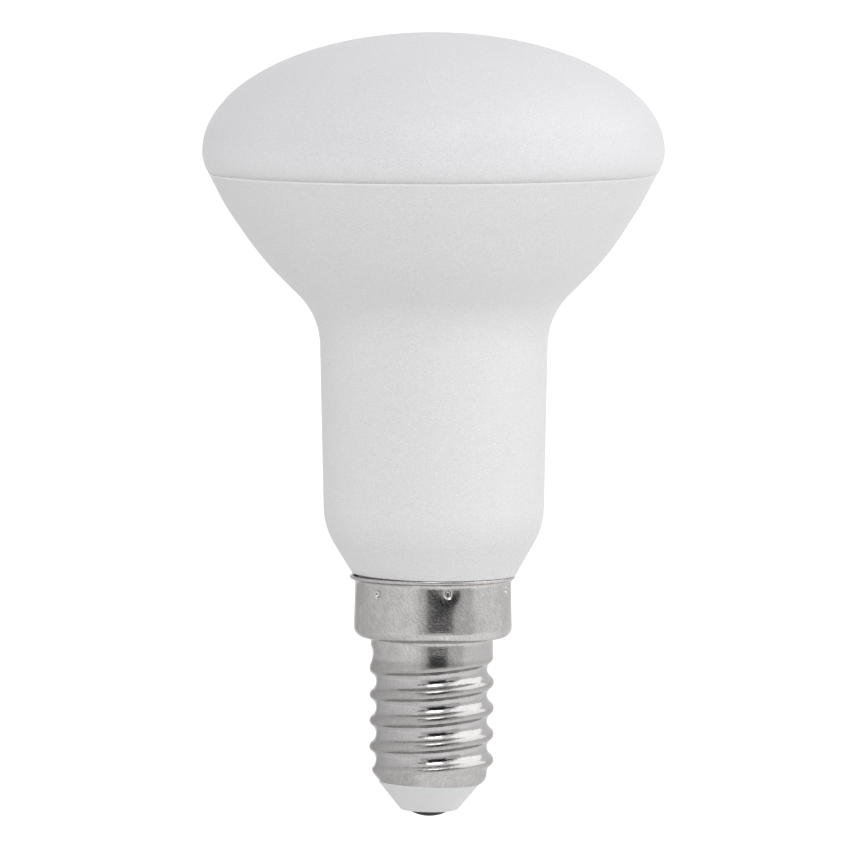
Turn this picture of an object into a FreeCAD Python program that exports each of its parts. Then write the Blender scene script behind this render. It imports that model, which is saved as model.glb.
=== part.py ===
import FreeCAD, Part
import math
import os

# A reflector bulb of the 50 mm class on a small Edison screw cap.
# An opal dome sits in the rim of a flared white housing. The housing's stepped spigot stands in
# a cap drawn from one thin sheet: a rolled thread, a plain neck and a wider skirt with a turned-out
# lip, held by six punched crimps. A white insulator closes the cap and carries the centre contact.
# The origin is the lowest point of the centre contact. +Z runs up the lamp's axis to the dome, and
# the side of the photograph is -Y. Lengths are in millimetres and angles in degrees.

# Centre contact: a domed head on a shank pressed into the insulator
contact_radius = 2.15
contact_dome_height = 0.6
contact_edge_height = 0.08
shank_radius = 0.9

# Insulator: a cone under the cap's lower edge, with a stem and a retaining ring inside the cap
insulator_cone_height = 2.92
insulator_cone_angle = 40.6
insulator_nose_rounding = 0.5
insulator_overhang = 0.03
insulator_clearance = 0.1
retaining_ring_height = 1.6

# Cap: one sheet, from the curled lower edge up to the lip
sheet = 0.25
shell_height = 15.88
curl_bend = 1.35
curl_turn = 62.7
thread_pitch = 2.822
thread_crest_radius = 6.74
thread_depth = 0.71
thread_crest_rounding = 0.65
thread_first_crest = 2.5
thread_start_length = 2.4
thread_end_level = 14.45
thread_end_length = 1.5
neck_radius = 6.63
skirt_radius = 8.57
skirt_height = 6.77
skirt_corner_rounding = 1.2
lip_reach = 0.4
lip_flare_height = 0.4
lip_edge = 0.15

# Crimps: round punch marks that push the skirt into a groove of the spigot
crimp_count = 6
crimp_mouth_radius = 0.42
crimp_depth = 0.3
crimp_drop = 1.39
crimp_first_angle = -78.0

# Housing: shoulder, drafted barrel, neck and three bands of widening bowl
spigot_clearance = 0.1
spigot_chamfer = 0.8
tail_clearance = 0.3
shoulder_setback = 0.12
shoulder_angle = 30.4
shoulder_rounding = 8.0
barrel_radius = 12.38
barrel_length = 22.8
barrel_draft = 1.2
neck_rounding = 7.8
lower_bowl_angle = 45.0
middle_bowl_angle = 33.8
middle_bowl_height = 5.7
middle_bowl_rounding = 30.0
upper_bowl_angle = 27.0
upper_bowl_height = 3.36
upper_bowl_rounding = 20.0
rim_wall = 1.6

# Diffuser: half an ellipsoid that turns in below its widest ring and plugs into the rim
dome_radius = 25.0
dome_height = 12.8
roll_radius = 4.3
roll_turn = 34.54
plug_depth = 2.0
plug_clearance = 0.1
seam_gap = 0.12

# Fineness of the rolled thread's surface
points_per_turn = 36
points_per_pitch = 10

AXIS = FreeCAD.Vector(0, 0, 1)
CENTRE = FreeCAD.Vector(0, 0, 0)


def tan(angle):
    return math.tan(math.radians(angle))


def sin(angle):
    return math.sin(math.radians(angle))


def cos(angle):
    return math.cos(math.radians(angle))


# Heights, stacked from the contact's lowest point to the top of the dome
insulator_bottom = contact_dome_height + contact_edge_height
shell_bottom = insulator_bottom + insulator_cone_height
curl_height = curl_bend * sin(curl_turn)
skirt_bottom = shell_bottom + shell_height
lip_top = skirt_bottom + skirt_height
crimp_level = lip_top - crimp_drop

insulator_top = shell_bottom + curl_height + retaining_ring_height

# Radii of the cap's sheet
thread_root_radius = thread_crest_radius - thread_depth
skirt_inner_radius = skirt_radius - sheet
lip_radius = skirt_radius + lip_reach
curl_centre_radius = thread_root_radius - sheet - curl_bend
shell_mouth_radius = curl_centre_radius + curl_bend * cos(curl_turn)
shell_edge_radius = curl_centre_radius + math.sqrt((curl_bend + sheet) ** 2 - curl_height**2)

# A punch mark is part of a ball, and the sheet follows it as a concentric ball
crimp_ball_radius = (crimp_mouth_radius**2 + crimp_depth**2) / (2 * crimp_depth)
crimp_ball_centre = skirt_radius + crimp_ball_radius - crimp_depth
crimp_nose_radius = crimp_ball_radius + sheet
crimp_nose_tip = crimp_ball_centre - crimp_nose_radius

# Corners of the housing's outline, from the cap up to the seam
shoulder_foot_radius = lip_radius - shoulder_setback
barrel_foot_radius = barrel_radius - barrel_length * tan(barrel_draft)
barrel_bottom = lip_top + (barrel_foot_radius - shoulder_foot_radius) / tan(shoulder_angle)
neck_level = barrel_bottom + barrel_length
seam_radius = dome_radius - roll_radius * (1 - cos(roll_turn))
upper_bowl_radius = seam_radius - upper_bowl_height * tan(upper_bowl_angle)
middle_bowl_radius = upper_bowl_radius - middle_bowl_height * tan(middle_bowl_angle)
middle_bowl_level = neck_level + (middle_bowl_radius - barrel_radius) / tan(lower_bowl_angle)
upper_bowl_level = middle_bowl_level + middle_bowl_height
rim_top = upper_bowl_level + upper_bowl_height
seam_level = rim_top + seam_gap
equator_level = seam_level + roll_radius * sin(roll_turn)
plug_radius = seam_radius - rim_wall - plug_clearance


def at(radius, height):
    """The point of an outline at this radius and height, in the XZ plane."""
    return FreeCAD.Vector(radius, 0, height)


def line(start, end):
    return Part.LineSegment(start, end).toShape()


def rounded_outline(corners):
    """A closed wire through (radius, height, rounding) corners, each rounding an arc tangent to both sides."""
    count = len(corners)
    points = [at(radius, height) for radius, height, _ in corners]
    sides = [points[(i + 1) % count] - points[i] for i in range(count)]
    turns = [sides[i - 1].getAngle(sides[i]) for i in range(count)]
    tangents = [corners[i][2] * math.tan(turns[i] / 2) for i in range(count)]
    edges = []
    for i in range(count):
        after = (i + 1) % count
        last_side = FreeCAD.Vector(sides[i - 1]).normalize()
        next_side = FreeCAD.Vector(sides[i]).normalize()
        start = points[i] - last_side * tangents[i]
        end = points[i] + next_side * tangents[i]
        if tangents[i] > 0:
            inward = (next_side - last_side).normalize()
            bulge = corners[i][2] * (1 / math.cos(turns[i] / 2) - 1)
            edges.append(Part.Arc(start, points[i] + inward * bulge, end).toShape())
        straight_end = points[after] - next_side * tangents[after]
        edges.append(line(end, straight_end))
    return Part.Wire(edges)


def turned(wire):
    """The solid that a closed outline sweeps round the lamp's axis."""
    return Part.Face(wire).revolve(CENTRE, AXIS, 360)


def make_housing():
    """The white body: bowl, neck, barrel and shoulder outside, a socket for the plug and a stepped spigot."""
    socket_radius = plug_radius + plug_clearance
    socket_floor = seam_level - plug_depth
    spigot_radius = skirt_inner_radius - spigot_clearance
    spigot_bottom = skirt_bottom + sheet + spigot_clearance
    groove_floor = crimp_nose_tip - spigot_clearance
    groove_half_width = crimp_nose_radius
    chamfer_level = spigot_bottom + spigot_chamfer
    tail_radius = thread_root_radius - sheet - tail_clearance
    tail_bottom = insulator_top + tail_clearance
    return turned(
        rounded_outline(
            [
                (0, socket_floor, 0),
                (socket_radius, socket_floor, 0),
                (socket_radius, rim_top, 0),
                (seam_radius, rim_top, 0),
                (upper_bowl_radius, upper_bowl_level, upper_bowl_rounding),
                (middle_bowl_radius, middle_bowl_level, middle_bowl_rounding),
                (barrel_radius, neck_level, neck_rounding),
                (barrel_foot_radius, barrel_bottom, shoulder_rounding),
                (shoulder_foot_radius, lip_top, 0),
                (spigot_radius, lip_top, 0),
                (spigot_radius, crimp_level + groove_half_width, 0),
                (groove_floor, crimp_level + groove_half_width, 0),
                (groove_floor, crimp_level - groove_half_width, 0),
                (spigot_radius, crimp_level - groove_half_width, 0),
                (spigot_radius, chamfer_level, 0),
                (spigot_radius - spigot_chamfer, spigot_bottom, 0),
                (tail_radius, spigot_bottom, 0),
                (tail_radius, tail_bottom, 0),
                (0, tail_bottom, 0),
            ]
        )
    )


def make_diffuser():
    """The opal dome: elliptical above its widest ring, rolled in below it, with a plug for the rim."""
    top = at(0, equator_level + dome_height)
    widest = at(dome_radius, equator_level)
    ellipse = Part.Ellipse(widest, top, at(0, equator_level))
    dome = Part.ArcOfEllipse(ellipse, ellipse.parameter(widest), ellipse.parameter(top)).toBSpline()
    roll_middle = at(
        dome_radius - roll_radius * (1 - cos(roll_turn / 2)),
        equator_level - roll_radius * sin(roll_turn / 2),
    )
    seam = at(seam_radius, seam_level)
    roll = Part.Arc(seam, roll_middle, widest)
    plug_bottom = seam_level - plug_depth
    corners = [
        top,
        at(0, plug_bottom),
        at(plug_radius, plug_bottom),
        at(plug_radius, seam_level),
        seam,
    ]
    underside = [line(start, end) for start, end in zip(corners, corners[1:])]
    return turned(Part.Wire([*underside, roll.toShape(), dome.toShape()]))


def smooth(share):
    """0 up to 0, 1 from 1 on, and an S between."""
    share = min(max(share, 0.0), 1.0)
    return share * share * (3 - 2 * share)


def thread_wave(offset, inset):
    """Radius of the rolled sheet this far along the axis from a crest: an arc over it, an arc under the root."""
    half_pitch = thread_pitch / 2
    roundings = (thread_depth**2 + half_pitch**2) / (2 * thread_depth)
    crest_rounding = thread_crest_rounding - inset
    root_rounding = roundings - crest_rounding
    if offset < crest_rounding * half_pitch / roundings:
        drop = crest_rounding - math.sqrt(crest_rounding**2 - offset**2)
        return thread_crest_radius - inset - drop
    rise = root_rounding - math.sqrt(root_rounding**2 - (half_pitch - offset) ** 2)
    return thread_root_radius - inset + rise


def shell_radius(height, angle, inset):
    """Radius of the threaded shell at a height over its lower edge. The inset is 0 outside and the sheet inside.

    The crests rise out of the root at the lower edge, and the last groove runs out into the neck."""
    first = thread_first_crest + thread_pitch * angle / 360
    turns = (height - first) / thread_pitch
    offset = abs(turns - round(turns)) * thread_pitch
    wave = thread_wave(offset, inset)
    root = thread_root_radius - inset
    started = smooth(height / thread_start_length)
    groove = first + (math.floor(turns) + 0.5) * thread_pitch
    cut = smooth((thread_end_level - groove) / thread_end_length)
    ended = smooth(2 * (height - thread_end_level) / thread_pitch + 1)
    crest = thread_crest_radius - (thread_crest_radius - neck_radius) * ended - inset
    radius = root + (wave - root) * started
    radius = crest - (thread_crest_radius - inset - radius) * cut
    below = max(curl_height - height, 0.0)
    curl = curl_bend + sheet - inset
    return radius - curl + math.sqrt(curl**2 - below**2)


def shell_side(height, inset):
    """One side of the threaded shell's sheet, up to a height over its lower edge."""
    rows = math.ceil(height / thread_pitch * points_per_pitch)
    columns = []
    for i in range(points_per_turn):
        angle = 360 * i / points_per_turn
        column = []
        for k in range(rows + 1):
            level = height * k / rows
            radius = shell_radius(level, angle, inset)
            column.append(
                FreeCAD.Vector(radius * cos(angle), radius * sin(angle), shell_bottom + level)
            )
        columns.append(column)
    columns.append(columns[0])
    surface = Part.BSplineSurface()
    surface.interpolate(columns)
    return surface.toShape()


def rim_edge(side, height):
    """The closed edge of a side of the shell at a height over its lower edge."""
    level = shell_bottom + height
    return min(side.Edges, key=lambda edge: abs(edge.BoundBox.ZMin - level) + edge.BoundBox.ZLength)


def make_threaded_shell():
    """The rolled lower part of the cap, from the curl round the insulator up through the plain neck."""
    height = shell_height + sheet
    outside = shell_side(height, 0)
    inside = shell_side(height, sheet)
    faces = [outside, inside]
    for level in (0, height):
        ring = [Part.Wire(rim_edge(outside, level)), Part.Wire(rim_edge(inside, level))]
        faces.append(Part.Face(ring, "Part::FaceMakerBullseye"))
    shell = Part.Shell(faces)
    shell.sewShape()
    solid = Part.Solid(Part.Shell(shell.Faces))
    if solid.Volume < 0:
        solid.reverse()
    return solid


def make_skirt():
    """The wide cup over the neck, with a rounded lower corner and a flared lip."""
    hole = neck_radius - sheet / 2
    return turned(
        rounded_outline(
            [
                (hole, skirt_bottom, 0),
                (skirt_radius, skirt_bottom, skirt_corner_rounding),
                (skirt_radius, lip_top - lip_flare_height, 0),
                (lip_radius, lip_top - lip_edge, 0),
                (lip_radius, lip_top, 0),
                (lip_radius - sheet, lip_top, 0),
                (skirt_inner_radius, lip_top - lip_flare_height, 0),
                (skirt_inner_radius, skirt_bottom + sheet, skirt_corner_rounding - sheet),
                (hole, skirt_bottom + sheet, 0),
            ]
        )
    )


def make_screw_cap():
    """The whole cap: threaded shell, neck, skirt and lip, dented by the crimps."""
    cap = make_skirt().fuse(make_threaded_shell())
    mid_wall = skirt_radius - sheet / 2
    plug = Part.makeCylinder(mid_wall, skirt_height, FreeCAD.Vector(0, 0, skirt_bottom))
    noses = []
    dents = []
    for i in range(crimp_count):
        angle = crimp_first_angle + 360 * i / crimp_count
        centre = FreeCAD.Vector(
            crimp_ball_centre * cos(angle), crimp_ball_centre * sin(angle), crimp_level
        )
        noses.append(Part.makeSphere(crimp_nose_radius, centre).common(plug))
        dents.append(Part.makeSphere(crimp_ball_radius, centre))
    return cap.fuse(noses).cut(dents)


def make_cap_insulator():
    """The white cone that closes the cap, held by its shoulder below the curl and its ring above it."""
    stem_radius = shell_mouth_radius - insulator_clearance
    cone_radius = shell_edge_radius + insulator_overhang
    nose_radius = cone_radius - insulator_cone_height * tan(insulator_cone_angle)
    ring_reach = curl_bend - insulator_clearance
    ring_drop = math.sqrt((ring_reach + insulator_clearance / 2) ** 2 - ring_reach**2)
    ring_radius = curl_centre_radius + ring_reach
    ring_bottom = shell_bottom + curl_height - ring_drop
    return turned(
        rounded_outline(
            [
                (shank_radius, insulator_bottom, 0),
                (nose_radius, insulator_bottom, insulator_nose_rounding),
                (cone_radius, shell_bottom, 0),
                (stem_radius, shell_bottom, 0),
                (stem_radius, ring_bottom, 0),
                (ring_radius, ring_bottom, 0),
                (ring_radius, insulator_top, 0),
                (shank_radius, insulator_top, 0),
            ]
        )
    )


def make_contact_pin():
    """The centre contact: a domed head under the insulator's nose, and the shank it is pressed in by."""
    edge = at(contact_radius, contact_dome_height)
    dome_radius_of_curve = (contact_radius**2 + contact_dome_height**2) / (2 * contact_dome_height)
    half_span = math.asin(contact_radius / dome_radius_of_curve) / 2
    middle = at(
        dome_radius_of_curve * math.sin(half_span),
        dome_radius_of_curve * (1 - math.cos(half_span)),
    )
    dome = Part.Arc(at(0, 0), middle, edge).toShape()
    above = [edge, at(contact_radius, insulator_bottom), at(shank_radius, insulator_bottom)]
    above += [at(shank_radius, insulator_top), at(0, insulator_top), at(0, 0)]
    outline = [dome]
    for start, end in zip(above, above[1:]):
        outline.append(line(start, end))
    return turned(Part.Wire(outline))


def main():
    nodes = {
        "diffuser": make_diffuser(),
        "housing": make_housing(),
        "screw_cap": make_screw_cap(),
        "cap_insulator": make_cap_insulator(),
        "contact_pin": make_contact_pin(),
    }
    os.makedirs("parts", exist_ok=True)
    for name, shape in nodes.items():
        shape.exportStep("parts/" + name + ".step")


main()
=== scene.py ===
import math

import bpy
import numpy as np
from mathutils import Matrix, Vector


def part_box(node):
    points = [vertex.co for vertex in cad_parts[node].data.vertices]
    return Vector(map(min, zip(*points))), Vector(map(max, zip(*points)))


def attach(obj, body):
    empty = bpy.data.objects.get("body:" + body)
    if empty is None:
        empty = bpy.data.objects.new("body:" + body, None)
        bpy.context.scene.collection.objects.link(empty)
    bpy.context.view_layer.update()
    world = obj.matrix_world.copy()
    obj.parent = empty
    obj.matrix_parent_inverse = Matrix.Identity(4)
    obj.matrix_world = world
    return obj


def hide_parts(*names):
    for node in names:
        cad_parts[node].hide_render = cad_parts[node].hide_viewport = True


# A white reflector bulb on a small screw cap, seen from just above against plain white.
# Sizes are in millimetres and angles in degrees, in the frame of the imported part: the lamp's axis
# is Z, the camera's side is -Y, and the origin is the lowest point of the centre contact.
MM = 0.001

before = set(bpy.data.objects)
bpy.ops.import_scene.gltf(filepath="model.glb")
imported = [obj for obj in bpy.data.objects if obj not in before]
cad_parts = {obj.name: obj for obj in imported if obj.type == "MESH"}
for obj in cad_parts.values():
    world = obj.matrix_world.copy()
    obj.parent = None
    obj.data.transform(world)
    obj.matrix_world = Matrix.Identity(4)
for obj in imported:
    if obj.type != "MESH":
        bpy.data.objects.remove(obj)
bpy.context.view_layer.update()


def box_mm(node):
    """Radius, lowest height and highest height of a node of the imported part."""
    low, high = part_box(node)
    return max(high.x, high.y) / MM, low.z / MM, high.z / MM


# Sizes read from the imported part
dome_radius, plug_bottom, dome_top = box_mm("diffuser")
_, tail_bottom, _ = box_mm("housing")
lip_radius, shell_bottom, lip_top = box_mm("screw_cap")
_, insulator_bottom, insulator_top = box_mm("cap_insulator")
contact_radius, contact_bottom, _ = box_mm("contact_pin")

# Meshes: the angle from which an edge stays sharp, rows and columns, and how near the axis an open
# outline ends, as a radius or as a turn of its arc, before the point on the axis that closes it
crease_angle = 38.0
dome_rows = 60
round_columns = 224
insulator_columns = 160
contact_columns = 96
columns_on_crimp = 20
columns_between_crimps = 29
dome_pole = 0.15
housing_pole = 0.5
contact_pole = 0.1
contact_pole_turn = 1.0

# Dome: half an ellipsoid, rolled in below its widest ring, a little aside on the housing's rim
dome_height = 12.8
dome_aside = 0.05
roll_radius = 4.3
roll_turn = 34.54
plug_clearance = 0.1
seam_overlap = 0.03
seam_edge_spread = 0.6
seam_edge_ripple = 0.01
seam_edge_rise = 0.004

# Housing: shoulder, barrel, neck and three bands of bowl outside, socket and spigot inside. A bowl's
# band is its slope off the axis in degrees, its height, and the rounding of its lower corner
rim_wall = 1.6
rim_rounding = 0.03
rim_edge_spread = 0.15
rim_calm_share = 0.2
rim_ripple_depth = 0.006
rim_ripple_width = 0.01
upper_bowl = (27.0, 3.46, 20.0)
middle_bowl = (33.8, 5.7, 30.0)
lower_bowl_angle = 45.0
neck_rounding = 7.8
barrel_radius = 12.38
barrel_length = 22.8
barrel_draft = 1.2
barrel_aside = 0.09
shoulder_rounding = 8.0
shoulder_setback = 0.12
shoulder_edge_rounding = 0.06
shoulder_lift = 0.2
shoulder_lift_angle = 200.0
shoulder_lift_reach = 70.0
foot_band = 0.2
socket_floor_gap = 0.02
spigot_clearance = 0.1
spigot_chamfer = 0.8
tail_clearance = 0.3
groove_half_width = 0.7

# Where the rim sinks: the angle round the axis, the reach to either side in degrees, and the depth
left_dip = (220.0, 30.0, 0.02)
right_dip = (330.0, 40.0, 0.05)

# Cap: one rolled sheet from the curl at the insulator up to the lip
sheet = 0.25
shell_height = 15.88
curl_bend = 1.35
curl_turn = 62.7
curl_lift = 0.06
thread_pitch = 2.822
thread_crest_radius = 6.74
thread_depth = 0.71
thread_crest_rounding = 0.65
thread_first_crest = 2.55
thread_sag = 0.1
thread_sag_angle = 270.0
thread_sag_spread = 26.0
thread_start_length = 2.4
thread_end_level = 14.45
thread_end_length = 1.5
neck_radius = 6.63
neck_fillet = 0.5
skirt_radius = 8.57
skirt_corner = 1.2
flare_radius = 0.6
flare_turn = 64.0
lip_bead = 0.21
wall_inset = 0.07
wall_taper = 1.4
wall_aside = 0.09
wall_waviness = 0.012
wall_blend = 1.0
lip_blend = 0.3

# The cap is set on the housing a little aside, with a slight lean
cap_aside = -0.085
cap_lean = 0.3

# Crimps: punched pits with a mouth that slopes below, each in a shallow dish. A stray is how far a
# crimp lies off its even place: degrees round the axis, and height
crimp_first_angle = -78.0
crimp_half_span = 4.8
crimp_strays = ((0, 0), (0.5, 0.03), (-1.5, -0.1), (1.0, 0.12), (-2.0, -0.05), (2.2, -0.25))
crimp_drop = 1.39
crimp_mouth_drop = 0.12
crimp_mouth_radius = 0.53
crimp_step_radius = 0.38
crimp_floor_radius = 0.28
crimp_slope_depth = 0.085
crimp_step_depth = 0.16
dish_depth = 0.2
dish_spread = 1.1

# Insulator and contact
insulator_nose_radius = 3.05
insulator_cone_rounding = 0.35
insulator_edge_rounding = 0.12
insulator_rim_radius = 5.56
insulator_rim_lift = 0.08
insulator_rim_spread = 0.3
insulator_rim_band = 0.2
insulator_clearance = 0.35
tip_aside = -0.2
tip_lean = 0.6
contact_dome_height = 0.6
contact_shank_radius = 0.9

# Camera: the photograph's angle
camera_distance = 1150.0
camera_pitch = 4.1
camera_lens = 450.0
sensor_width = 36.0
view_height = 42.5
view_offset = -0.87
view_reach = 100000.0

# Studio: a pale floor far below the lamp, soft lights, and cards that only gloss mirrors. The floor
# has one glow for the camera and gloss, and some more for the camera alone
floor_drop = 260.0
floor_size = 60000.0
floor_glow = 0.48
floor_camera_glow = 0.14
surround_strength = 0.67
light_distance = 900.0
card_distance = 420.0
far_distance = 480.0
low_distance = 300.0


# Tangent, sine and cosine of an angle in degrees
def tan(angle):
    return math.tan(math.radians(angle))


def sin(angle):
    return math.sin(math.radians(angle))


def cos(angle):
    return math.cos(math.radians(angle))


# Heights and radii that the sizes above give
skirt_bottom = shell_bottom + shell_height
crimp_level = lip_top - crimp_drop
equator_level = dome_top - dome_height
seam_level = equator_level - roll_radius * sin(roll_turn)
rim_top = seam_level + seam_overlap
middle_bowl_level = rim_top - upper_bowl[1]
seam_radius = dome_radius - roll_radius * (1 - cos(roll_turn))
plug_radius = seam_radius - rim_wall - plug_clearance
thread_root_radius = thread_crest_radius - thread_depth
skirt_inner_radius = skirt_radius - sheet
curl_height = curl_bend * sin(curl_turn)
curl_centre_radius = thread_root_radius - sheet - curl_bend
shell_mouth_radius = curl_centre_radius + curl_bend * cos(curl_turn)
flare_height = (flare_radius + lip_bead) * sin(flare_turn) + lip_bead


def smooth(share):
    """0 up to 0, 1 from 1 on, and an S between."""
    share = np.clip(share, 0.0, 1.0)
    return share * share * (3 - 2 * share)


def ripple(angles, counts, seed):
    """An uneven wave round the axis, between about -1 and 1, with these numbers of waves per turn."""
    phases = np.random.default_rng(seed).uniform(0, 2 * math.pi, len(counts))
    waves = [np.cos(count * angles + phase) for count, phase in zip(counts, phases)]
    return np.sum(waves, axis=0) / math.sqrt(len(counts))


def arc(centre, radius, start, end, step=6.0):
    """Points of an arc as (radius, height). Angles are in degrees up from the outward direction."""
    steps = max(3, math.ceil(abs(end - start) / step))
    turns = np.radians(np.linspace(start, end, steps + 1))
    return [(centre[0] + radius * math.cos(t), centre[1] + radius * math.sin(t)) for t in turns]


def rounded(corners, step=2.0):
    """Points along an outline of (radius, height, rounding) corners."""
    points = []
    for i, (radius, height, rounding) in enumerate(corners):
        if rounding == 0:
            points.append((radius, height))
            continue
        corner = Vector((radius, height))
        back = (Vector(corners[i - 1][:2]) - corner).normalized()
        ahead = (Vector(corners[i + 1][:2]) - corner).normalized()
        half_turn = (math.pi - back.angle(ahead)) / 2
        centre = corner + (back + ahead).normalized() * rounding / math.cos(half_turn)
        start = corner + back * rounding * math.tan(half_turn) - centre
        turn = start.angle_signed(corner + ahead * rounding * math.tan(half_turn) - centre)
        first = math.degrees(math.atan2(start.y, start.x))
        points += arc(centre, rounding, first, first - math.degrees(turn), step)
    return points


def line(start, end, step):
    """Evenly spaced points from start up to, but not including, end."""
    steps = max(1, round(math.dist(start, end) / step))
    return [tuple(point) for point in np.linspace(start, end, steps, endpoint=False)]


def swept(radii, heights, angles):
    """Rows of points round the axis, from rows of radii and heights with one column per angle."""
    heights = np.broadcast_to(heights, radii.shape)
    return np.stack([radii * np.cos(angles), radii * np.sin(angles), heights], axis=-1)


def skin(name, grid, closed):
    """A closed, smooth-shaded mesh over rows of points round the axis, riding on the part.

    The rows run up the outside. They either close on themselves, or end in a point on the axis
    at both ends."""
    rows, columns, _ = grid.shape
    points = grid.reshape(-1, 3)
    lower = np.arange(rows if closed else rows - 1)[:, None]
    upper = (lower + 1) % rows
    column = np.arange(columns)[None, :]
    after = (column + 1) % columns
    corners = [lower * columns + column, lower * columns + after]
    corners += [upper * columns + after, upper * columns + column]
    faces = np.stack(np.broadcast_arrays(*corners), axis=-1).reshape(-1, 4).tolist()
    if not closed:
        last = (rows - 1) * columns
        poles = [[0, 0, grid[0, 0, 2]], [0, 0, grid[-1, 0, 2]]]
        bottom, top = len(points), len(points) + 1
        points = np.vstack([points, poles])
        for k in range(columns):
            following = (k + 1) % columns
            faces.append([bottom, following, k])
            faces.append([top, last + k, last + following])
    mesh = bpy.data.meshes.new(name)
    mesh.from_pydata((points * MM).tolist(), [], faces)
    mesh.shade_smooth()
    mesh.set_sharp_from_angle(angle=math.radians(crease_angle))
    piece = bpy.data.objects.new(name, mesh)
    bpy.context.scene.collection.objects.link(piece)
    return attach(piece, "root")


def lathe(name, outline, closed=False, columns=round_columns, shape=None):
    """A mesh turned from an outline. A shape function may shift its rows of radii and heights."""
    angles = np.linspace(0, 2 * math.pi, columns, endpoint=False)
    outline = np.asarray(outline, float)
    radii = np.repeat(outline[:, :1], columns, axis=1)
    heights = np.repeat(outline[:, 1:], columns, axis=1)
    if shape:
        radii, heights = shape(radii, heights, angles)
    return skin(name, swept(radii, heights, angles), closed)


def dome_edge(radii, heights, angles):
    """The dome stands a little to one side on the housing, and its lower edge isn't quite even."""
    above_plug = radii > plug_radius
    edge = np.exp(-(((heights - seam_level) / seam_edge_spread) ** 2)) * above_plug
    uneven = ripple(angles, (3, 7, 16, 41, 67), seed=4)
    radii = radii + (dome_aside * np.cos(angles) + seam_edge_ripple * uneven * edge) * above_plug
    return radii, heights + seam_edge_rise * (1 + ripple(angles, (5, 19, 37), seed=8)) * edge


def housing_edges(radii, heights, angles):
    """The rim is a little uneven, and the barrel is set a little aside.

    The foot follows the cap's lean, and stands off the cap's lip on the left."""
    edge = np.exp(-(((heights - rim_top) / rim_edge_spread) ** 2))
    side = np.degrees(angles) % 360
    left = smooth(1 - np.abs(side - left_dip[0]) / left_dip[1])
    right = smooth(1 - np.abs(side - right_dip[0]) / right_dip[1])
    strength = rim_calm_share + (1 - rim_calm_share) * left
    fine = ripple(angles, (23, 47, 61, 89, 97), seed=2) * strength
    sunken = left_dip[2] * left + right_dip[2] * right + rim_ripple_depth * fine
    foot = (np.abs(heights - lip_top) < foot_band) & (radii > skirt_inner_radius)
    lifted = shoulder_lift * smooth(1 - np.abs(side - shoulder_lift_angle) / shoulder_lift_reach)
    lifted = lifted - radii * np.cos(angles) * sin(cap_lean)
    heights = heights - np.maximum(sunken, 0) * edge + lifted * foot
    in_barrel = smooth((middle_bowl_level - heights) / middle_bowl[1])
    shift = barrel_aside * np.cos(angles) * in_barrel
    return radii + rim_ripple_width * fine * edge + shift, heights


def make_dome():
    """The opal dome, from its plug over the rolled edge up to the top."""
    ellipse = [
        (dome_radius * cos(90 * k / dome_rows), equator_level + dome_height * sin(90 * k / dome_rows))
        for k in range(1, dome_rows)
    ]
    ellipse.append((dome_pole, dome_top))
    roll = arc((dome_radius - roll_radius, equator_level), roll_radius, -roll_turn, 0, step=3)
    underside = [(dome_pole, plug_bottom), (plug_radius, plug_bottom), (plug_radius, seam_level)]
    return lathe("opal_dome", underside + roll + ellipse, shape=dome_edge)


def make_housing():
    """The white body, with the socket for the dome's plug and the spigot inside the cap."""
    upper_radius = seam_radius - upper_bowl[1] * tan(upper_bowl[0])
    middle_radius = upper_radius - middle_bowl[1] * tan(middle_bowl[0])
    middle_level = middle_bowl_level - middle_bowl[1]
    neck_level = middle_level - (middle_radius - barrel_radius) / tan(lower_bowl_angle)
    foot_level = neck_level - barrel_length
    foot_radius = barrel_radius - barrel_length * tan(barrel_draft)
    spigot_radius = skirt_inner_radius - spigot_clearance
    spigot_bottom = skirt_bottom + sheet + spigot_clearance
    groove_radius = spigot_radius - crimp_slope_depth - crimp_step_depth - dish_depth
    groove_bottom = crimp_level - groove_half_width
    groove_top = crimp_level + groove_half_width
    tail_radius = thread_root_radius - sheet - tail_clearance
    socket_radius = plug_radius + plug_clearance
    socket_floor = plug_bottom - socket_floor_gap
    outline = [
        (housing_pole, tail_bottom, 0),
        (tail_radius, tail_bottom, 0),
        (tail_radius, spigot_bottom, 0),
        (spigot_radius - spigot_chamfer, spigot_bottom, 0),
        (spigot_radius, spigot_bottom + spigot_chamfer, 0),
        (spigot_radius, groove_bottom, 0),
        (groove_radius, groove_bottom, 0),
        (groove_radius, groove_top, 0),
        (spigot_radius, groove_top, 0),
        (spigot_radius, lip_top, 0),
        (lip_radius - shoulder_setback, lip_top, shoulder_edge_rounding),
        (foot_radius, foot_level, shoulder_rounding),
        (barrel_radius, neck_level, neck_rounding),
        (middle_radius, middle_level, middle_bowl[2]),
        (upper_radius, middle_bowl_level, upper_bowl[2]),
        (seam_radius, rim_top, rim_rounding),
        (socket_radius, rim_top, 0),
        (socket_radius, socket_floor, 0),
        (housing_pole, socket_floor, 0),
    ]
    return lathe("white_housing", rounded(outline), shape=housing_edges)


def thread_wave(offset, inset):
    """Radius of the rolled sheet this far along the axis from a crest."""
    half_pitch = thread_pitch / 2
    both_roundings = (thread_depth**2 + half_pitch**2) / (2 * thread_depth)
    crest_rounding = thread_crest_rounding - inset
    root_rounding = both_roundings - crest_rounding
    on_crest = offset < crest_rounding * half_pitch / both_roundings
    reach = np.where(on_crest, offset, 0)
    drop = crest_rounding - np.sqrt(crest_rounding**2 - reach**2)
    reach = np.where(on_crest, 0, half_pitch - offset)
    rise = root_rounding - np.sqrt(root_rounding**2 - reach**2)
    return np.where(on_crest, thread_crest_radius - drop, thread_root_radius + rise) - inset


def edge_lift(angles):
    """How far the curl's edge stands above its lowest place, which is on the right."""
    return curl_lift * (1 - np.cos(angles))


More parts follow.
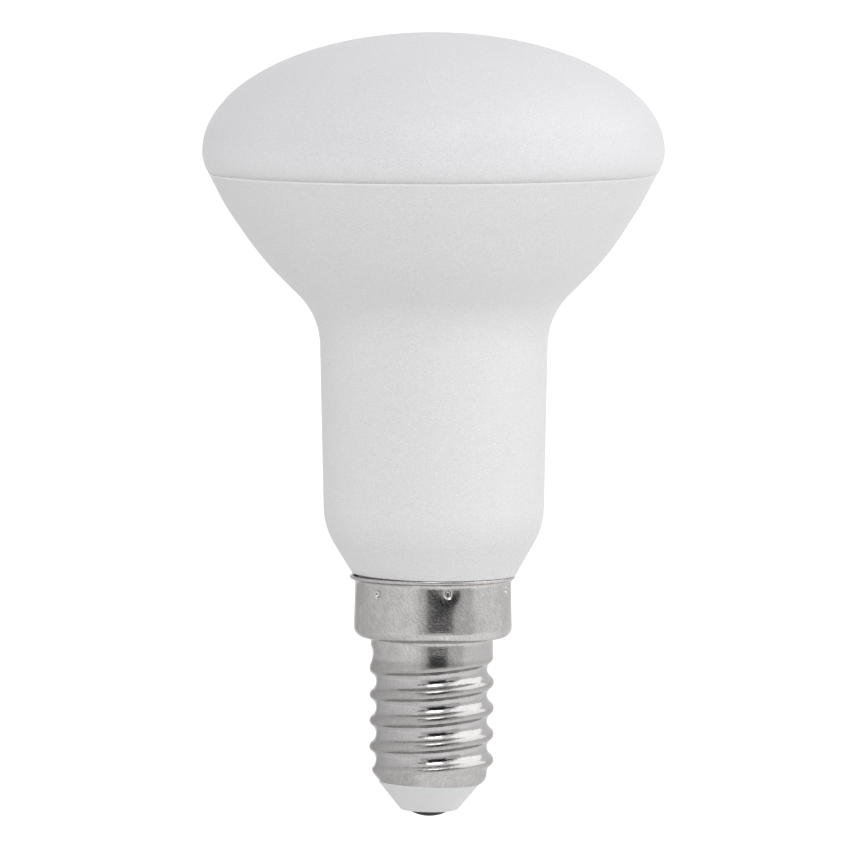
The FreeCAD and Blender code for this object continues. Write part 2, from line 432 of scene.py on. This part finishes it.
def shell_radii(heights, angles, inset):
    """Radii of the threaded shell at heights over its lower edge. The inset is 0 outside.

    The crests rise out of the root at the lower edge, and the last groove runs out into the neck.
    On the camera's side the thread lies a little lower."""
    aside = np.degrees(angles) % 360 - thread_sag_angle
    sag = thread_sag * np.exp(-((aside / thread_sag_spread) ** 2))
    first = thread_first_crest + thread_pitch * angles / (2 * math.pi) - sag
    turns = (heights - first) / thread_pitch
    wave = thread_wave(np.abs(turns - np.round(turns)) * thread_pitch, inset)
    root = thread_root_radius - inset
    started = smooth(heights / thread_start_length)
    groove = first + (np.floor(turns) + 0.5) * thread_pitch
    cut = smooth((thread_end_level - groove) / thread_end_length)
    ended = smooth((heights - thread_end_level + thread_pitch / 2) / (thread_pitch / 2))
    crest = thread_crest_radius - (thread_crest_radius - neck_radius) * ended - inset
    radii = root + (wave - root) * started
    radii = crest - (thread_crest_radius - inset - radii) * cut
    below = np.maximum(curl_height + edge_lift(angles) - heights, 0)
    curl = curl_bend + sheet - inset
    return radii - curl + np.sqrt(curl**2 - below**2)


def shell_rows(angles, inset, step):
    """Rows of the threaded shell, from its lower edge up to the fillet under the skirt."""
    top = shell_height - neck_fillet
    shares = np.linspace(0, 1, round(top / step) + 1)[:-1, None]
    lowest = edge_lift(angles)[None, :]
    levels = lowest + (top - lowest) * shares
    return shell_radii(levels, angles[None, :], inset), shell_bottom + levels


def skirt_outline():
    """The cup above the neck: up its outside, over the lip's rounded edge, and down its inside."""
    fillet_centre = (neck_radius + neck_fillet, skirt_bottom - neck_fillet)
    corner_centre = (skirt_radius - skirt_corner, skirt_bottom + skirt_corner)
    flare_centre = (skirt_radius + flare_radius, lip_top - flare_height)
    edge_turn = 180 - flare_turn
    edge_reach = flare_radius + lip_bead
    edge_centre = (
        flare_centre[0] + edge_reach * cos(edge_turn),
        flare_centre[1] + edge_reach * sin(edge_turn),
    )
    wall_start = (skirt_radius, corner_centre[1])
    pit_start = (skirt_radius, crimp_level - dish_spread)
    pit_end = (skirt_radius, flare_centre[1])
    outside = arc(fillet_centre, neck_fillet, 180, 90, step=10)
    outside += arc(corner_centre, skirt_corner, -90, 0, step=6)[:-1]
    outside += line(wall_start, pit_start, step=0.4)
    outside += line(pit_start, pit_end, step=0.07)
    outside += arc(flare_centre, flare_radius, 180, edge_turn, step=8)[:-1]
    edge = arc(edge_centre, lip_bead, edge_turn - 180, edge_turn, step=15)
    inside = arc(flare_centre, flare_radius + sheet, edge_turn, 180, step=15)[1:]
    inner_start = (skirt_inner_radius, pit_end[1])
    inner_end = (skirt_inner_radius, corner_centre[1])
    inside += line(inner_start, inner_end, step=0.25)[1:]
    inside += arc(corner_centre, skirt_corner - sheet, 0, -90, step=15)
    inside += arc(fillet_centre, neck_fillet + sheet, 90, 180, step=18)
    return outside + edge + inside


def crimp_places():
    """The angle of each crimp, and how far it stands above or below their common level."""
    step = 360 / len(crimp_strays)
    return [(crimp_first_angle + i * step + turn, rise) for i, (turn, rise) in enumerate(crimp_strays)]


def dents(heights, angles):
    """How far the crimps push the skirt's wall inwards at these heights and angles."""
    depth = np.zeros(np.broadcast_shapes(heights.shape, angles.shape))
    slope_width = crimp_mouth_radius + crimp_mouth_drop - crimp_step_radius
    step_width = crimp_step_radius - crimp_floor_radius
    for turn, rise in crimp_places():
        aside = (angles - math.radians(turn) + math.pi) % (2 * math.pi) - math.pi
        away = np.hypot(aside * skirt_radius, heights - crimp_level - rise)
        around = np.hypot(aside * skirt_radius, heights - crimp_level - rise + crimp_mouth_drop)
        depth += crimp_slope_depth * np.clip((crimp_mouth_radius - around) / slope_width, 0, 1)
        depth += crimp_step_depth * np.clip((crimp_step_radius - away) / step_width, 0, 1)
        depth += dish_depth * np.exp(-((away / dish_spread) ** 2))
    return depth


def leaned(piece, aside, lean, pivot_level):
    """Sets a piece this far aside, with a slight lean round a pivot on the axis."""
    pivot = Vector((0, 0, pivot_level * MM))
    turn = Matrix.Rotation(math.radians(lean), 4, "Y")
    shift = Vector((aside * MM, 0, 0))
    piece.data.transform(Matrix.Translation(pivot + shift) @ turn @ Matrix.Translation(-pivot))
    return piece


def set_with_cap(piece):
    """Sets a piece aside and leans it as the whole cap is on the housing."""
    return leaned(piece, cap_aside, cap_lean, lip_top)


def set_with_tip(piece):
    """Leans the insulator or the contact a little in the cap, and with it."""
    return set_with_cap(leaned(piece, tip_aside, tip_lean, shell_bottom))


def cap_angles():
    """Columns round the cap, set close together across each crimp."""
    angles = []
    centres = [turn for turn, _ in crimp_places()]
    for centre, following in zip(centres, [*centres[1:], centres[0] + 360]):
        start = centre - crimp_half_span
        end = centre + crimp_half_span
        angles += list(np.linspace(start, end, columns_on_crimp, endpoint=False))
        start = following - crimp_half_span
        angles += list(np.linspace(end, start, columns_between_crimps, endpoint=False))
    return np.radians(angles)


def make_screw_shell():
    """The whole cap as one closed skin: outside from the curl to the lip, then back down inside."""
    angles = cap_angles()
    outer_radii, outer_levels = shell_rows(angles, inset=0, step=0.125)
    inner_radii, inner_levels = shell_rows(angles, inset=sheet, step=0.25)
    outline = np.asarray(skirt_outline())
    skirt_radii = np.repeat(outline[:, :1], len(angles), axis=1)
    skirt_levels = np.repeat(outline[:, 1:], len(angles), axis=1)
    on_wall = smooth((skirt_radii - neck_radius - neck_fillet) / wall_blend)
    waviness = wall_waviness * ripple(angles, (2, 3, 5, 8), seed=3)
    skirt_radii = skirt_radii + on_wall * (waviness - dents(skirt_levels, angles))
    on_lip = smooth((skirt_radii - skirt_radius - wall_aside) / lip_blend)
    skirt_radii = skirt_radii + on_wall * (wall_aside * (1 - on_lip) * np.cos(angles) - wall_inset)
    tapered = (skirt_bottom + lip_top) / 2 - skirt_levels
    skirt_radii = skirt_radii + on_wall * (1 - on_lip) * tapered * tan(wall_taper)
    radii = np.vstack([outer_radii, skirt_radii, inner_radii[::-1]])
    heights = np.vstack([outer_levels, skirt_levels, inner_levels[::-1]])
    return set_with_cap(skin("screw_shell", swept(radii, heights, angles), closed=True))


def make_insulator():
    """The white cone under the cap, with its stem and retaining ring inside the curl."""
    stem_radius = shell_mouth_radius - insulator_clearance
    ring_radius = curl_centre_radius + curl_bend - insulator_clearance
    rim_level = shell_bottom + insulator_rim_lift
    ring_level = shell_bottom + 2 * curl_lift + curl_height + insulator_clearance
    outline = [
        (contact_shank_radius, insulator_bottom, 0),
        (insulator_nose_radius, insulator_bottom, insulator_cone_rounding),
        (insulator_rim_radius, rim_level, insulator_edge_rounding),
        (stem_radius, rim_level, 0),
        (stem_radius, ring_level, 0),
        (ring_radius, ring_level, 0),
        (ring_radius, insulator_top, 0),
        (contact_shank_radius, insulator_top, 0),
    ]

    def follow_curl(radii, heights, angles):
        outside = radii > (stem_radius + insulator_rim_radius) / 2
        at_rim = outside & (np.abs(heights - rim_level) < insulator_rim_band)
        lift = edge_lift(angles) * at_rim
        return radii + lift * insulator_rim_spread, heights + lift

    outline = rounded(outline, step=6.0)
    cone = lathe("insulator_cone", outline, closed=True, columns=insulator_columns, shape=follow_curl)
    return set_with_tip(cone)


def make_contact():
    """The centre contact's shallow dome and the shank that holds it in the insulator."""
    curve = (contact_radius**2 + contact_dome_height**2) / (2 * contact_dome_height)
    span = math.degrees(math.asin(contact_radius / curve))
    dome = arc((0, contact_bottom + curve), curve, -90 + contact_pole_turn, -90 + span, step=2)
    above = [
        (contact_radius, contact_bottom + contact_dome_height),
        (contact_radius, insulator_bottom),
        (contact_shank_radius, insulator_bottom),
        (contact_shank_radius, insulator_top),
        (contact_pole, insulator_top),
    ]
    return set_with_tip(lathe("contact_head", dome[:-1] + above, columns=contact_columns))


# Tints of the materials
opal_tint = (1.0, 1.0, 1.032)
white_tint = (1.0, 1.0, 1.014)
satin_tint = (1.0, 0.968, 0.959)
bright_tint = (1.0, 0.98, 0.975)

# Where the painted light and the finishes change, in millimetres: painted light from below reaches
# this far above the dome's widest ring, a painted highlight lies along the rim's top between these
# depths under it, and the finish changes from the thread's root and crest, the cap's lower edge,
# the end of the thread and the skirt's lower edge
painted_light_edge_reach = 2.0
painted_rim_highlight_start = 0.3
painted_rim_highlight_end = 0.1
rubbed_above_root = 0.3
rubbed_below_crest = 0.08
rubbed_curl_start = 1.5
rubbed_curl_end = 2.2
thread_finish_end = 1.0
skirt_finish_start = 2.0


def add(tree, kind, inputs=None, **settings):
    """A shader node with these settings. An input is a value, or a socket to link it to."""
    made = tree.nodes.new("ShaderNode" + kind)
    for key, value in settings.items():
        setattr(made, key, value)
    for key, value in (inputs or {}).items():
        if isinstance(value, bpy.types.NodeSocket):
            tree.links.new(value, made.inputs[key])
        else:
            made.inputs[key].default_value = value
    return made


def grey(level, tint=(1.0, 1.0, 1.0)):
    """A colour of this level from 0 for black to 1 for white, with a tint."""
    return (level * tint[0], level * tint[1], level * tint[2], 1.0)


def surface(name):
    """A new material, its node tree and its shader."""
    material = bpy.data.materials.new(name)
    material.use_nodes = True
    return material, material.node_tree, material.node_tree.nodes["Principled BSDF"]


def place_mm(tree):
    """The place on the object in millimetres."""
    coords = add(tree, "TexCoord").outputs["Object"]
    enlarged = add(tree, "VectorMath", {0: coords, 1: (1 / MM, 1 / MM, 1 / MM)}, operation="MULTIPLY")
    return enlarged.outputs[0]


def unrolled(tree, place, radius):
    """The place on a cylinder of this radius, unrolled flat: arc length, height, 0."""
    parts = add(tree, "SeparateXYZ", {0: place}).outputs
    behind = add(tree, "Math", {0: parts["Y"], 1: -1.0}, operation="MULTIPLY").outputs[0]
    turn = add(tree, "Math", {0: parts["X"], 1: behind}, operation="ARCTAN2").outputs[0]
    length = add(tree, "Math", {0: turn, 1: radius}, operation="MULTIPLY").outputs[0]
    return add(tree, "CombineXYZ", {"X": length, "Y": parts["Z"]}).outputs[0]


def height_of(tree, place):
    """The height of a place."""
    return add(tree, "SeparateXYZ", {0: place}).outputs["Z"]


def noise(tree, place, scale, detail=2.0):
    """Soft random values round 0.5, finer for a greater scale."""
    settings = {"Vector": place, "Scale": scale, "Detail": detail}
    return add(tree, "TexNoise", settings).outputs["Fac"]


def stretched(tree, flat, turn, stretch, scale):
    """Noise drawn out into streaks that lie at an angle in degrees, so many times longer than wide."""
    settings = {"Vector": flat, "Rotation": (0, 0, math.radians(turn)), "Scale": (stretch, 1, 1)}
    turned = add(tree, "Mapping", settings, vector_type="TEXTURE").outputs[0]
    return noise(tree, turned, scale)


def spread(tree, value, low, high, start=0.3, end=0.7):
    """A value from start to end, spread over low to high. The usual start and end suit noise."""
    settings = {"Value": value, "From Min": start, "From Max": end, "To Min": low, "To Max": high}
    return add(tree, "MapRange", settings).outputs["Result"]


def between(tree, share, first, second):
    """A number from the first to the second, by a share from 0 to 1."""
    return add(tree, "Mix", {0: share, 2: first, 3: second}, data_type="FLOAT").outputs[0]


def blend(tree, share, first, second):
    """A colour from the first to the second, by a share from 0 to 1."""
    mix = add(tree, "Mix", data_type="RGBA")
    for key, value in {"Factor": share, "A": first, "B": second}.items():
        socket = [s for s in mix.inputs if s.name == key and s.type != "VECTOR" and s.enabled][0]
        if isinstance(value, bpy.types.NodeSocket):
            tree.links.new(value, socket)
        else:
            socket.default_value = value
    return [s for s in mix.outputs if s.enabled][0]


def scaled(tree, colour, factor):
    """A colour made paler or darker by a factor."""
    return add(tree, "VectorMath", {0: colour, 3: factor}, operation="SCALE").outputs[0]


def bump(tree, height, strength, distance, normal=None):
    """A normal that follows these heights, over this distance in millimetres."""
    settings = {"Height": height, "Strength": strength, "Distance": distance * MM}
    if normal:
        settings["Normal"] = normal
    return add(tree, "Bump", settings).outputs[0]


def link(tree, shader, **sockets):
    """Links values to the shader's inputs of these names."""
    for key, value in sockets.items():
        tree.links.new(value, shader.inputs[key.replace("_", " ")])


def opal_plastic():
    """Milky diffusing plastic, satin, with a faint mottle, the finest grain and painted light near its
    lower edge.
    """
    material, tree, shader = surface("opal_plastic")
    place = place_mm(tree)
    mottle = spread(tree, noise(tree, place, scale=0.12, detail=3.0), 0, 1)
    grain = noise(tree, place, scale=9.0, detail=1.0)
    height = height_of(tree, place)
    tone = blend(tree, mottle, grey(0.87, opal_tint), grey(0.885, opal_tint))
    # Painted light: the dome is painted paler from the seam up past its widest ring, standing in for
    # the light the opal lets through to its lower edge
    painted_light_near_edge = spread(tree, height, 1, 0, seam_level, equator_level + painted_light_edge_reach)
    tone = blend(tree, painted_light_near_edge, tone, grey(0.98, white_tint))
    link(
        tree,
        shader,
        Base_Color=scaled(tree, tone, spread(tree, grain, 1.0, 0.84)),
        Roughness=spread(tree, grain, 0.4, 0.48),
        Normal=bump(tree, grain, strength=0.6, distance=0.04),
    )
    shader.inputs["IOR"].default_value = 1.49
    shader.inputs["Subsurface Weight"].default_value = 0.6
    shader.inputs["Subsurface Radius"].default_value = (1.0, 1.0, 1.0)
    shader.inputs["Subsurface Scale"].default_value = 2.5 * MM
    return material


def white_plastic():
    """Matte moulded plastic with a spark-eroded grain, and a painted highlight along the rim's top."""
    material, tree, shader = surface("white_plastic")
    place = place_mm(tree)
    mottle = spread(tree, noise(tree, place, scale=0.15, detail=3.0), 0, 1)
    grain = noise(tree, place, scale=5.0, detail=3.0)
    fleck = spread(tree, noise(tree, place, scale=9.0, detail=1.0), 0, 1)
    height = height_of(tree, place)
    tone = blend(tree, mottle, grey(0.75, white_tint), grey(0.77, white_tint))
    tone = blend(tree, fleck, tone, grey(0.91, white_tint))
    # Painted highlight: the top of the rim is painted nearly white, as if it caught the light
    rim = spread(tree, height, 0, 1, rim_top - painted_rim_highlight_start, rim_top - painted_rim_highlight_end)
    link(
        tree,
        shader,
        Base_Color=blend(tree, rim, tone, grey(0.98, white_tint)),
        Roughness=spread(tree, grain, 0.48, 0.6),
        Normal=bump(tree, grain, strength=0.7, distance=0.06),
    )
    return material


def plated_sheet():
    """Nickel plate: bright in the thread's grooves, rubbed to satin and scratched elsewhere."""
    material, tree, shader = surface("plated_sheet")
    place = place_mm(tree)
    flat = unrolled(tree, place, skirt_radius)
    height = height_of(tree, place)
    sideways = add(tree, "VectorMath", {0: place, 1: (1, 1, 0)}, operation="MULTIPLY").outputs[0]
    radius = add(tree, "VectorMath", {0: sideways}, operation="LENGTH").outputs["Value"]
    rub_start = thread_root_radius + rubbed_above_root
    rub_end = thread_crest_radius - rubbed_below_crest
    proud = spread(tree, radius, 0, 1, rub_start, rub_end)
    curl = spread(tree, height, 1, 0, shell_bottom + rubbed_curl_start, shell_bottom + rubbed_curl_end)
    rubbed = add(tree, "Math", {0: proud, 1: curl}, operation="MAXIMUM").outputs[0]
    thread_end = shell_bottom + thread_end_level - thread_finish_end
    on_thread = spread(tree, height, 1, 0, thread_end, skirt_bottom - skirt_finish_start)
    cloud = spread(tree, noise(tree, place, scale=0.45, detail=3.0), 0, 1)
    drawn = stretched(tree, flat, turn=0, stretch=4, scale=6.0)
    on_skirt = stretched(tree, flat, turn=-58, stretch=6, scale=6.5)
    strokes = stretched(tree, flat, turn=57, stretch=6, scale=5.0)
    scratches = between(tree, on_thread, on_skirt, strokes)
    worn = spread(tree, scratches, 0, 1, start=0.35, end=0.65)
    grain = noise(tree, place, scale=8.0)
    bright = blend(tree, cloud, grey(0.45, bright_tint), grey(0.49, bright_tint))
    satin = blend(tree, worn, grey(0.45, satin_tint), grey(0.6, satin_tint))
    satin = blend(tree, spread(tree, cloud, 0, 0.4), satin, grey(0.42, satin_tint))
    thread = blend(tree, worn, grey(0.37, satin_tint), grey(0.42, satin_tint))
    thread = blend(tree, spread(tree, curl, 0, 0.45, start=0, end=1), thread, satin)
    satin = blend(tree, on_thread, satin, thread)
    base = blend(tree, rubbed, bright, satin)
    rough_bright = spread(tree, cloud, 0.1, 0.15, start=0, end=1)
    rough_satin = spread(tree, worn, 0.18, 0.25, start=0, end=1)
    lines = bump(tree, drawn, strength=0.8, distance=0.014)
    scored = bump(tree, scratches, strength=0.1, distance=0.008, normal=lines)
    link(
        tree,
        shader,
        Base_Color=scaled(tree, base, spread(tree, grain, 0.86, 1.14)),
        Roughness=between(tree, rubbed, rough_bright, rough_satin),
        Normal=bump(tree, grain, strength=0.5, distance=0.008, normal=scored),
    )
    shader.inputs["Metallic"].default_value = 1.0
    shader.inputs["Specular Tint"].default_value = grey(0.8)
    return material


def white_insulator():
    """Dull white moulding, very slightly uneven."""
    material, tree, shader = surface("white_insulator")
    place = place_mm(tree)
    uneven = noise(tree, place, scale=0.6, detail=3.0)
    grain = noise(tree, place, scale=8.0)
    tone = blend(tree, spread(tree, uneven, 0, 1), grey(0.79), grey(0.81))
    swell = bump(tree, uneven, strength=0.3, distance=0.05)
    link(
        tree,
        shader,
        Base_Color=blend(tree, spread(tree, grain, 0, 1), tone, grey(0.85)),
        Roughness=spread(tree, grain, 0.42, 0.52),
        Normal=bump(tree, grain, strength=0.2, distance=0.008, normal=swell),
    )
    shader.inputs["Specular IOR Level"].default_value = 0.3
    return material


def contact_metal():
    """Dull tinned metal, darkened and pitted."""
    material, tree, shader = surface("contact_metal")
    place = place_mm(tree)
    cloud = noise(tree, place, scale=1.4, detail=3.0)
    pits = noise(tree, place, scale=6.0, detail=3.0)
    link(
        tree,
        shader,
        Base_Color=blend(tree, spread(tree, cloud, 0, 1), grey(0.08), grey(0.12)),
        Roughness=spread(tree, pits, 0.28, 0.46),
        Normal=bump(tree, pits, strength=0.4, distance=0.02),
    )
    shader.inputs["Metallic"].default_value = 1.0
    shader.inputs["Specular Tint"].default_value = grey(0.3)
    return material


def dress(piece, node, material):
    """A piece stands for its node, which it hides, and takes this material."""
    piece.data.materials.append(material)
    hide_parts(node)


def seen_by(tree, *kinds):
    """1 for a ray of one of these kinds, and 0 for the rest."""
    path = add(tree, "LightPath")
    total = path.outputs[f"Is {kinds[0]} Ray"]
    for kind in kinds[1:]:
        other = path.outputs[f"Is {kind} Ray"]
        total = add(tree, "Math", {0: total, 1: other}, operation="MAXIMUM").outputs[0]
    return total


def toward(azimuth, elevation, distance):
    """A point seen from the lamp's middle, at degrees to the right of the camera and up."""
    reach = distance * cos(elevation)
    x, y = reach * sin(azimuth), -reach * cos(azimuth)
    return Vector((x, y, distance * sin(elevation) + view_height)) * MM


def aimed(location):
    """The placing of a light, card or camera that looks at the lamp's middle."""
    middle = Vector((0, 0, view_height * MM))
    turn = (location - middle).to_track_quat("Z", "Y").to_matrix().to_4x4()
    return Matrix.Translation(location) @ turn


def soft_light(name, azimuth, elevation, width, height, watts):
    """A broad light that gloss doesn't mirror, at degrees to the right of the camera and up."""
    lamp = bpy.data.lights.new(name, "AREA")
    lamp.shape = "RECTANGLE"
    lamp.size = width * MM
    lamp.size_y = height * MM
    lamp.energy = watts
    holder = bpy.data.objects.new(name, lamp)
    holder.visible_glossy = False
    holder.matrix_world = aimed(toward(azimuth, elevation, light_distance))
    bpy.context.scene.collection.objects.link(holder)


def plane(name, width, height):
    """A flat sheet of the studio, which isn't part of the lamp."""
    corners = [(-width, -height, 0), (width, -height, 0), (width, height, 0), (-width, height, 0)]
    mesh = bpy.data.meshes.new(name)
    mesh.from_pydata([Vector(corner) * MM / 2 for corner in corners], [], [(0, 1, 2, 3)])
    thing = bpy.data.objects.new(name, mesh)
    bpy.context.scene.collection.objects.link(thing)
    return thing


def make_floor():
    """A large pale floor that the camera and gloss see as white, with the lamp's shadow on it."""
    floor = plane("floor", floor_size, floor_size)
    floor.location.z = -floor_drop * MM
    material, tree, shader = surface("pale_floor")
    place = place_mm(tree)
    tone = spread(tree, noise(tree, place, scale=0.01), 0, 1)
    seen = seen_by(tree, "Camera", "Glossy", "Transmission")
    glow = add(tree, "Math", {0: seen, 1: floor_glow}, operation="MULTIPLY").outputs[0]
    levels = {0: seen_by(tree, "Camera"), 1: floor_camera_glow, 2: glow}
    glow = add(tree, "Math", levels, operation="MULTIPLY_ADD").outputs[0]
    link(tree, shader, Base_Color=blend(tree, tone, grey(0.79), grey(0.80)), Emission_Strength=glow)
    shader.inputs["Roughness"].default_value = 0.9
    shader.inputs["Specular IOR Level"].default_value = 0.0
    shader.inputs["Emission Color"].default_value = grey(1.0)
    floor.data.materials.append(material)


def make_card(name, left, right, bottom, top, glow, right_glow=None, distance=card_distance):
    """A card that only gloss mirrors. Its edges lie at degrees to the right of the camera and up.

    With a right_glow, its glow changes evenly from its left edge to its right edge."""
    middle = (left + right) / 2, (bottom + top) / 2
    width = 2 * distance * tan((right - left) / 2) * cos(middle[1])
    height = 2 * distance * tan((top - bottom) / 2)
    card = plane(name, width, height)
    card.matrix_world = aimed(toward(*middle, distance))
    card.visible_camera = False
    card.visible_diffuse = False
    card.visible_transmission = False
    card.visible_shadow = False
    material, tree, shader = surface(name)
    shader.inputs["Base Color"].default_value = grey(0.02)
    shader.inputs["Roughness"].default_value = 1.0
    shader.inputs["Specular IOR Level"].default_value = 0.0
    shader.inputs["Emission Color"].default_value = grey(1.0)
    shader.inputs["Emission Strength"].default_value = glow
    if right_glow is not None:
        reach = card.data.vertices[1].co.x
        across = add(tree, "SeparateXYZ", {0: add(tree, "TexCoord").outputs["Object"]}).outputs["X"]
        link(tree, shader, Emission_Strength=spread(tree, across, glow, right_glow, -reach, reach))
    card.data.materials.append(material)


def make_world():
    """Even light from all round, and a white surround for the camera and for gloss."""
    world = bpy.data.worlds.new("studio")
    world.use_nodes = True
    bpy.context.scene.world = world
    tree = world.node_tree
    white = seen_by(tree, "Camera", "Glossy", "Transmission")
    background = tree.nodes["Background"]
    background.inputs["Color"].default_value = grey(1.0)
    strength = spread(tree, white, surround_strength, 1.0, start=0, end=1)
    tree.links.new(strength, background.inputs["Strength"])


def make_camera():
    """The camera at the photograph's angle, square to the lamp's axis from side to side."""
    camera = bpy.data.cameras.new("camera")
    camera.lens = camera_lens
    camera.sensor_width = sensor_width
    camera.clip_end = view_reach * MM
    holder = bpy.data.objects.new("camera", camera)
    target = Vector((view_offset, 0, view_height)) * MM
    back = Vector((0, -cos(camera_pitch), sin(camera_pitch))) * camera_distance * MM
    turn = Matrix.Rotation(math.radians(90 - camera_pitch), 4, "X")
    holder.matrix_world = Matrix.Translation(target + back) @ turn
    bpy.context.scene.collection.objects.link(holder)
    bpy.context.scene.camera = holder


# The lamp
dress(make_dome(), "diffuser", opal_plastic())
dress(make_housing(), "housing", white_plastic())
dress(make_screw_shell(), "screw_cap", plated_sheet())
dress(make_insulator(), "cap_insulator", white_insulator())
dress(make_contact(), "contact_pin", contact_metal())

# The studio round it
make_world()
make_floor()
make_card("camera_card", -9, 29, -1, 28, glow=0.0)
make_card("stand_card", -9, 29, -11, -1, glow=0.06)
make_card("frame_card", -31, -13, 20, 33, glow=0.0)
make_card("hood_card", 29, 46, 6, 22, glow=0.0)
make_card("flank_card", -22, 62, -32, 20, glow=0.72, distance=far_distance)
make_card("lens_window", -13, 19, 31, 53, glow=4.0)
make_card("side_window", 50, 131, 10, 66, glow=1.85)
make_card("left_card", -160, -50, -32, 64, glow=0.6, right_glow=1.0, distance=far_distance)
make_card("low_card", -160, -20, -74, -33, glow=0.65, right_glow=1.07, distance=low_distance)
make_card("low_front_card", -20, 50, -74, -33, glow=1.05, right_glow=1.25, distance=low_distance)
soft_light("key_light", azimuth=75, elevation=16, width=600, height=600, watts=1.95)
soft_light("front_light", azimuth=0, elevation=30, width=600, height=600, watts=1.3)
soft_light("fill_light", azimuth=-50, elevation=10, width=900, height=900, watts=0.45)
make_camera()

bpy.context.scene.view_settings.view_transform = "Standard"
